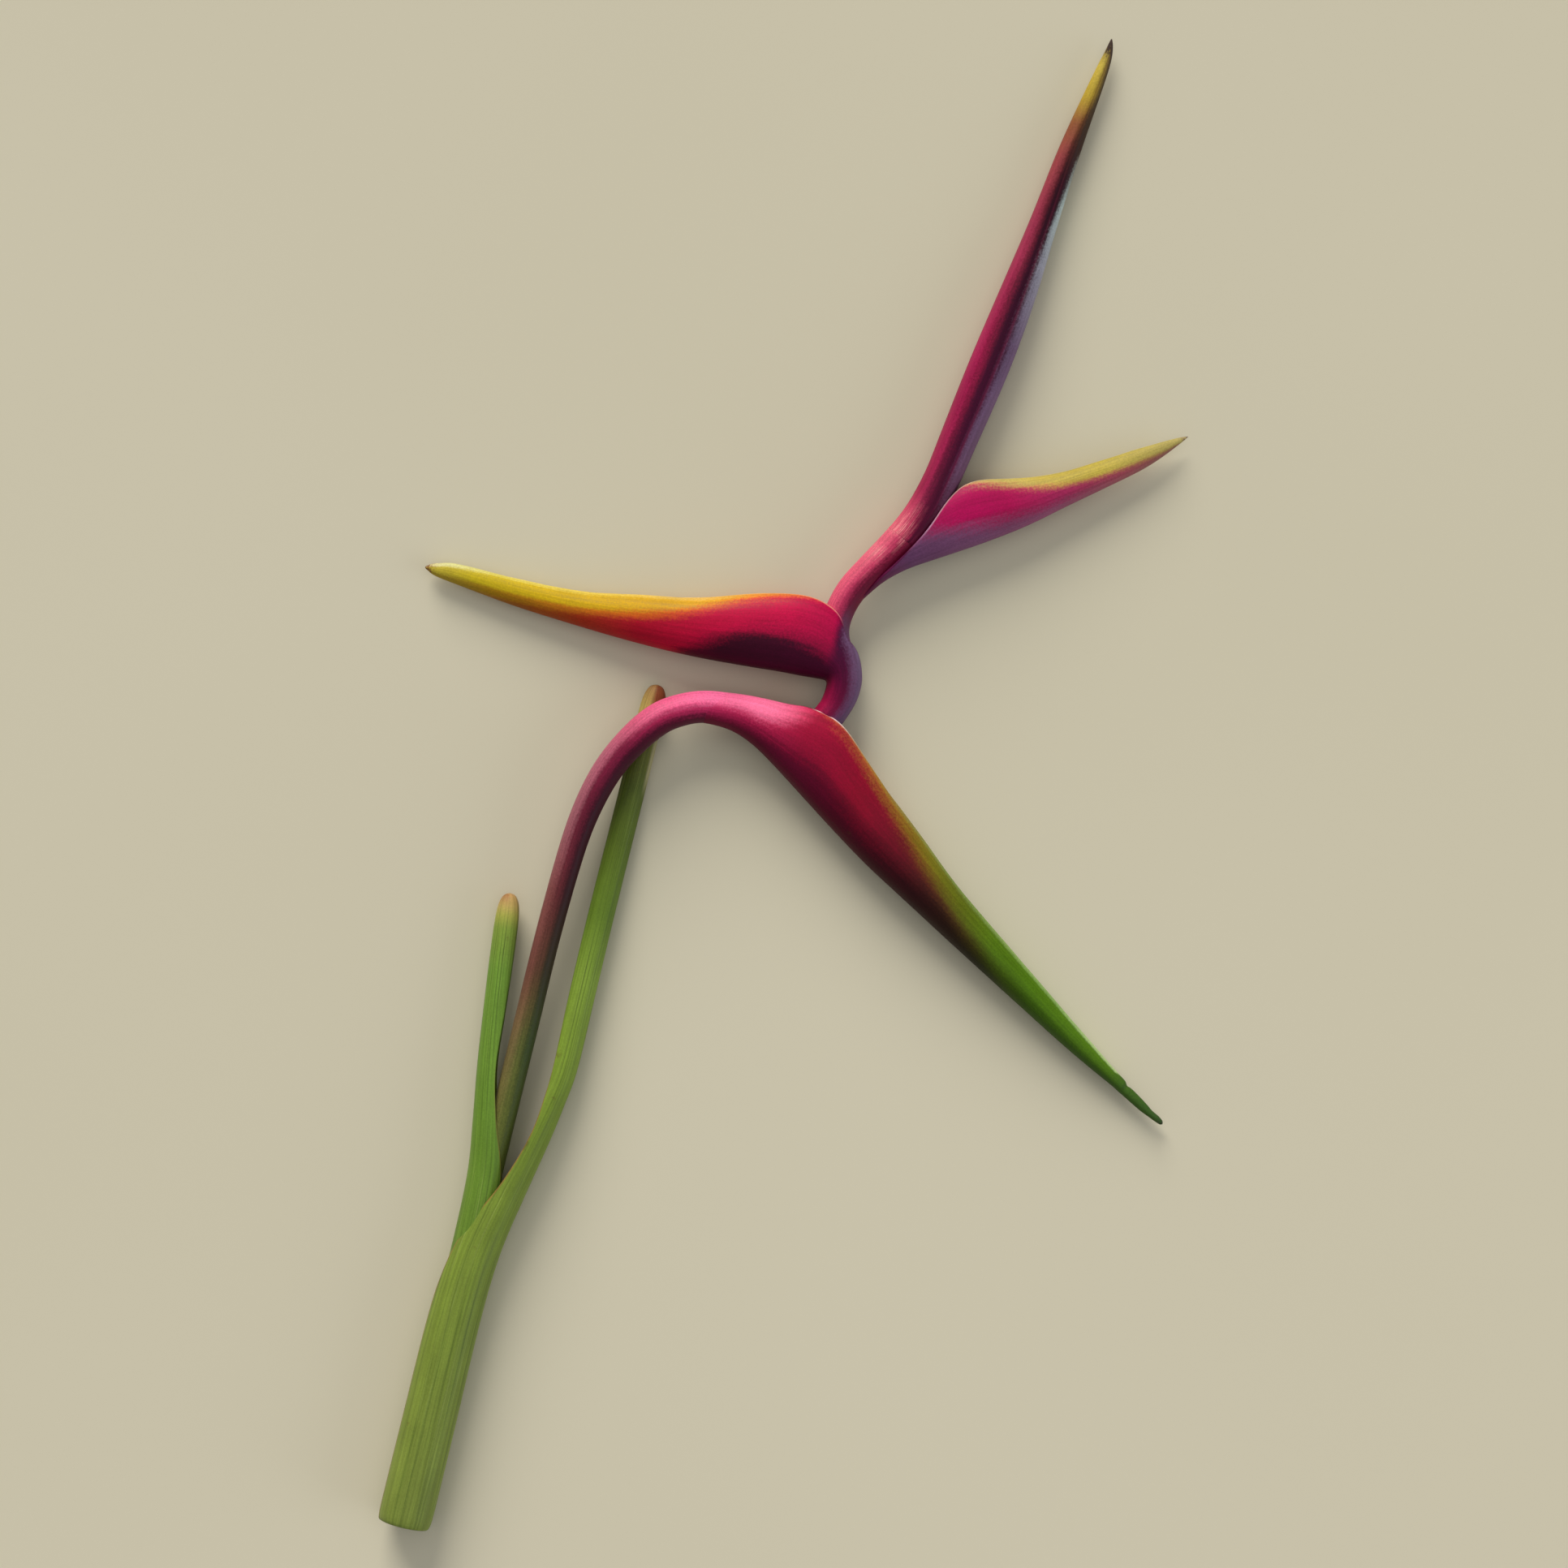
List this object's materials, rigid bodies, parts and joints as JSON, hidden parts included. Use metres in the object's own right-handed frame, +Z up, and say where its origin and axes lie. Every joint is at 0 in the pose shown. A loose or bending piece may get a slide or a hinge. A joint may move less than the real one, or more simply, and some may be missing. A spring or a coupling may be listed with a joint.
{
  "type": "birds nest heliconia",
  "caption": "Cut heliconia stem lying flat: an arched stalk that ends in a zigzag of long boat-shaped bracts, with two trimmed leaf stalks clasping its foot.",
  "frame": {"origin": "on the surface that the stem lies on, under the middle of its outline", "axes": "+Z up from the surface; +Y along the stem's longest reach, from the cut end toward the tip of the uppermost bract; +X toward the side where the lowest bract points"},
  "size_m": [0.3226, 0.593, 0.0217],
  "materials": {
    "stalk_skin": "satin, finely downy",
    "sheath_skin": "satin, finely ribbed",
    "bract_basal_skin": "satin, waxy",
    "bract_skin": "satin, waxy",
    "bract_tip_skin": "satin, waxy",
    "flower_skin": "soft, matt"
  },
  "bodies": {
    "root": {"flower_stalk": "stalk_skin", "leaf_sheath_outer": "sheath_skin", "leaf_sheath_inner": "sheath_skin", "bract_1_basal": "bract_basal_skin", "bract_2": "bract_skin", "bract_3": "bract_skin", "bract_4_tip": "bract_tip_skin", "flower_cluster_1": "flower_skin", "flower_cluster_2": "flower_skin", "flower_cluster_3": "flower_skin"}
  },
  "joints": []
}
